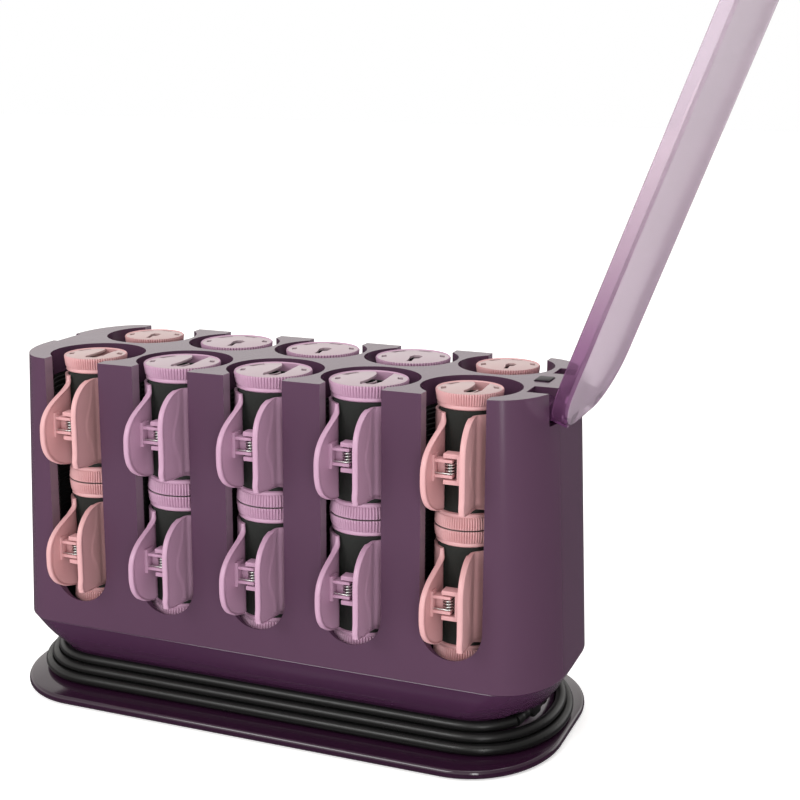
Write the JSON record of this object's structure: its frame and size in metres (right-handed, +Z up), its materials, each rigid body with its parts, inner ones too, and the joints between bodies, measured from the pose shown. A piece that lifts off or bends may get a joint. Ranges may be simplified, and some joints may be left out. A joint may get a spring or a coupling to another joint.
{
  "type": "heated hair roller set",
  "caption": "Heated hair roller set: open-fronted wells of stacked rollers with claw clips in a purple case, with a hinged lid and a cord wound round its foot.",
  "frame": {"origin": "centre of the base plate's underside", "axes": "+X along the case towards the lid's hinge, -Y to the front, +Z up; the lid stands open at rest"},
  "size_m": [0.3731, 0.1306, 0.4037],
  "materials": {
    "case": "satin deep purple",
    "housing": "glossy dark purple",
    "base_plate": "high-gloss dark purple",
    "chamber": "black, heat resistant",
    "aluminium": "cast",
    "element": "sheathed element",
    "ceramic": "ceramic body",
    "steel": "drawn wire",
    "dark_trim": "dark",
    "lens": "tinted lens",
    "cord": "black flexible PVC",
    "lid": "translucent lilac",
    "large_roller": "lilac ends, dark flocked barrel",
    "small_roller": "pink ends, dark flocked barrel",
    "large_clip": "lilac",
    "small_clip": "pink"
  },
  "bodies": {
    "base": {"case_shell": "case", "heat_chamber": "chamber", "heater_plate": "aluminium", "heating_element": "element", "thermostat": "ceramic", "lower_housing": "housing", "base_plate": "base_plate", "lid_hinge_pin": "steel", "lid_catch": "dark_trim", "indicator_lens": "lens", "strain_relief": "cord", "cord_winding": "cord", "cord_tail": "cord", "plug": "cord"},
    "lid": {"lid": "lid"},
    "roller_front_1_lower": {"roller_front_1_lower": "small_roller", "clip_front_1_lower": "small_clip"},
    "roller_front_1_upper": {"roller_front_1_upper": "small_roller"},
    "clip_front_1_upper_left_jaw": {"clip_front_1_upper_left_jaw": "small_clip"},
    "clip_front_1_upper_right_jaw": {"clip_front_1_upper_right_jaw": "small_clip"},
    "roller_front_2_lower": {"roller_front_2_lower": "large_roller", "clip_front_2_lower": "large_clip"},
    "roller_front_2_upper": {"roller_front_2_upper": "large_roller"},
    "clip_front_2_upper_left_jaw": {"clip_front_2_upper_left_jaw": "large_clip"},
    "clip_front_2_upper_right_jaw": {"clip_front_2_upper_right_jaw": "large_clip"},
    "roller_front_3_lower": {"roller_front_3_lower": "large_roller", "clip_front_3_lower": "large_clip"},
    "roller_front_3_upper": {"roller_front_3_upper": "large_roller"},
    "clip_front_3_upper_left_jaw": {"clip_front_3_upper_left_jaw": "large_clip"},
    "clip_front_3_upper_right_jaw": {"clip_front_3_upper_right_jaw": "large_clip"},
    "roller_front_4_lower": {"roller_front_4_lower": "large_roller", "clip_front_4_lower": "large_clip"},
    "roller_front_4_upper": {"roller_front_4_upper": "large_roller"},
    "clip_front_4_upper_left_jaw": {"clip_front_4_upper_left_jaw": "large_clip"},
    "clip_front_4_upper_right_jaw": {"clip_front_4_upper_right_jaw": "large_clip"},
    "roller_front_5_lower": {"roller_front_5_lower": "small_roller", "clip_front_5_lower": "small_clip"},
    "roller_front_5_upper": {"roller_front_5_upper": "small_roller"},
    "clip_front_5_upper_left_jaw": {"clip_front_5_upper_left_jaw": "small_clip"},
    "clip_front_5_upper_right_jaw": {"clip_front_5_upper_right_jaw": "small_clip"},
    "roller_back_1_lower": {"roller_back_1_lower": "small_roller", "clip_back_1_lower": "small_clip"},
    "roller_back_1_upper": {"roller_back_1_upper": "small_roller", "clip_back_1_upper": "small_clip"},
    "roller_back_2_lower": {"roller_back_2_lower": "large_roller", "clip_back_2_lower": "large_clip"},
    "roller_back_2_upper": {"roller_back_2_upper": "large_roller", "clip_back_2_upper": "large_clip"},
    "roller_back_3_lower": {"roller_back_3_lower": "large_roller", "clip_back_3_lower": "large_clip"},
    "roller_back_3_upper": {"roller_back_3_upper": "large_roller", "clip_back_3_upper": "large_clip"},
    "roller_back_4_lower": {"roller_back_4_lower": "large_roller", "clip_back_4_lower": "large_clip"},
    "roller_back_4_upper": {"roller_back_4_upper": "large_roller", "clip_back_4_upper": "large_clip"},
    "roller_back_5_lower": {"roller_back_5_lower": "small_roller", "clip_back_5_lower": "small_clip"},
    "roller_back_5_upper": {"roller_back_5_upper": "small_roller", "clip_back_5_upper": "small_clip"}
  },
  "joints": [
    {"name": "lid_hinge", "type": "hinge", "parent": "base", "child": "lid", "pos_m": [0.128, 0, 0.161], "axis": [0, 1, 0], "range_deg": [-110.5, 0]},
    {"name": "lift_front_1_lower", "type": "slide", "parent": "base", "child": "roller_front_1_lower", "axis": [0, 0, 1], "range_m": [0, 0.13]},
    {"name": "lift_front_1_upper", "type": "slide", "parent": "roller_front_1_lower", "child": "roller_front_1_upper", "axis": [0, 0, 1], "range_m": [0, 0.07]},
    {"name": "squeeze_front_1_left", "type": "hinge", "parent": "roller_front_1_upper", "child": "clip_front_1_upper_left_jaw", "pos_m": [-0.0959, -0.0505, 0.1373], "axis": [0, 0, 1], "range_deg": [0, 8], "stiffness_Nm_per_rad": 0.05},
    {"name": "squeeze_front_1_right", "type": "hinge", "parent": "roller_front_1_upper", "child": "clip_front_1_upper_right_jaw", "pos_m": [-0.0959, -0.0505, 0.1373], "axis": [0, 0, 1], "range_deg": [-8, 0], "stiffness_Nm_per_rad": 0.05},
    {"name": "lift_front_2_lower", "type": "slide", "parent": "base", "child": "roller_front_2_lower", "axis": [0, 0, 1], "range_m": [0, 0.13]},
    {"name": "lift_front_2_upper", "type": "slide", "parent": "roller_front_2_lower", "child": "roller_front_2_upper", "axis": [0, 0, 1], "range_m": [0, 0.07]},
    {"name": "squeeze_front_2_left", "type": "hinge", "parent": "roller_front_2_upper", "child": "clip_front_2_upper_left_jaw", "pos_m": [-0.04795, -0.0505, 0.1373], "axis": [0, 0, 1], "range_deg": [0, 8], "stiffness_Nm_per_rad": 0.05},
    {"name": "squeeze_front_2_right", "type": "hinge", "parent": "roller_front_2_upper", "child": "clip_front_2_upper_right_jaw", "pos_m": [-0.04795, -0.0505, 0.1373], "axis": [0, 0, 1], "range_deg": [-8, 0], "stiffness_Nm_per_rad": 0.05},
    {"name": "lift_front_3_lower", "type": "slide", "parent": "base", "child": "roller_front_3_lower", "axis": [0, 0, 1], "range_m": [0, 0.13]},
    {"name": "lift_front_3_upper", "type": "slide", "parent": "roller_front_3_lower", "child": "roller_front_3_upper", "axis": [0, 0, 1], "range_m": [0, 0.07]},
    {"name": "squeeze_front_3_left", "type": "hinge", "parent": "roller_front_3_upper", "child": "clip_front_3_upper_left_jaw", "pos_m": [0, -0.0505, 0.1373], "axis": [0, 0, 1], "range_deg": [0, 8], "stiffness_Nm_per_rad": 0.05},
    {"name": "squeeze_front_3_right", "type": "hinge", "parent": "roller_front_3_upper", "child": "clip_front_3_upper_right_jaw", "pos_m": [0, -0.0505, 0.1373], "axis": [0, 0, 1], "range_deg": [-8, 0], "stiffness_Nm_per_rad": 0.05},
    {"name": "lift_front_4_lower", "type": "slide", "parent": "base", "child": "roller_front_4_lower", "axis": [0, 0, 1], "range_m": [0, 0.13]},
    {"name": "lift_front_4_upper", "type": "slide", "parent": "roller_front_4_lower", "child": "roller_front_4_upper", "axis": [0, 0, 1], "range_m": [0, 0.07]},
    {"name": "squeeze_front_4_left", "type": "hinge", "parent": "roller_front_4_upper", "child": "clip_front_4_upper_left_jaw", "pos_m": [0.04795, -0.0505, 0.1373], "axis": [0, 0, 1], "range_deg": [0, 8], "stiffness_Nm_per_rad": 0.05},
    {"name": "squeeze_front_4_right", "type": "hinge", "parent": "roller_front_4_upper", "child": "clip_front_4_upper_right_jaw", "pos_m": [0.04795, -0.0505, 0.1373], "axis": [0, 0, 1], "range_deg": [-8, 0], "stiffness_Nm_per_rad": 0.05},
    {"name": "lift_front_5_lower", "type": "slide", "parent": "base", "child": "roller_front_5_lower", "axis": [0, 0, 1], "range_m": [0, 0.13]},
    {"name": "lift_front_5_upper", "type": "slide", "parent": "roller_front_5_lower", "child": "roller_front_5_upper", "axis": [0, 0, 1], "range_m": [0, 0.07]},
    {"name": "squeeze_front_5_left", "type": "hinge", "parent": "roller_front_5_upper", "child": "clip_front_5_upper_left_jaw", "pos_m": [0.0959, -0.0505, 0.1373], "axis": [0, 0, 1], "range_deg": [0, 8], "stiffness_Nm_per_rad": 0.05},
    {"name": "squeeze_front_5_right", "type": "hinge", "parent": "roller_front_5_upper", "child": "clip_front_5_upper_right_jaw", "pos_m": [0.0959, -0.0505, 0.1373], "axis": [0, 0, 1], "range_deg": [-8, 0], "stiffness_Nm_per_rad": 0.05},
    {"name": "lift_back_1_lower", "type": "slide", "parent": "base", "child": "roller_back_1_lower", "axis": [0, 0, 1], "range_m": [0, 0.13]},
    {"name": "lift_back_1_upper", "type": "slide", "parent": "roller_back_1_lower", "child": "roller_back_1_upper", "axis": [0, 0, 1], "range_m": [0, 0.07]},
    {"name": "lift_back_2_lower", "type": "slide", "parent": "base", "child": "roller_back_2_lower", "axis": [0, 0, 1], "range_m": [0, 0.13]},
    {"name": "lift_back_2_upper", "type": "slide", "parent": "roller_back_2_lower", "child": "roller_back_2_upper", "axis": [0, 0, 1], "range_m": [0, 0.07]},
    {"name": "lift_back_3_lower", "type": "slide", "parent": "base", "child": "roller_back_3_lower", "axis": [0, 0, 1], "range_m": [0, 0.13]},
    {"name": "lift_back_3_upper", "type": "slide", "parent": "roller_back_3_lower", "child": "roller_back_3_upper", "axis": [0, 0, 1], "range_m": [0, 0.07]},
    {"name": "lift_back_4_lower", "type": "slide", "parent": "base", "child": "roller_back_4_lower", "axis": [0, 0, 1], "range_m": [0, 0.13]},
    {"name": "lift_back_4_upper", "type": "slide", "parent": "roller_back_4_lower", "child": "roller_back_4_upper", "axis": [0, 0, 1], "range_m": [0, 0.07]},
    {"name": "lift_back_5_lower", "type": "slide", "parent": "base", "child": "roller_back_5_lower", "axis": [0, 0, 1], "range_m": [0, 0.13]},
    {"name": "lift_back_5_upper", "type": "slide", "parent": "roller_back_5_lower", "child": "roller_back_5_upper", "axis": [0, 0, 1], "range_m": [0, 0.07]}
  ],
  "couplings": [
    {"joint": "squeeze_front_1_right", "follows": "squeeze_front_1_left", "ratio": -1},
    {"joint": "squeeze_front_2_right", "follows": "squeeze_front_2_left", "ratio": -1},
    {"joint": "squeeze_front_3_right", "follows": "squeeze_front_3_left", "ratio": -1},
    {"joint": "squeeze_front_4_right", "follows": "squeeze_front_4_left", "ratio": -1},
    {"joint": "squeeze_front_5_right", "follows": "squeeze_front_5_left", "ratio": -1}
  ]
}
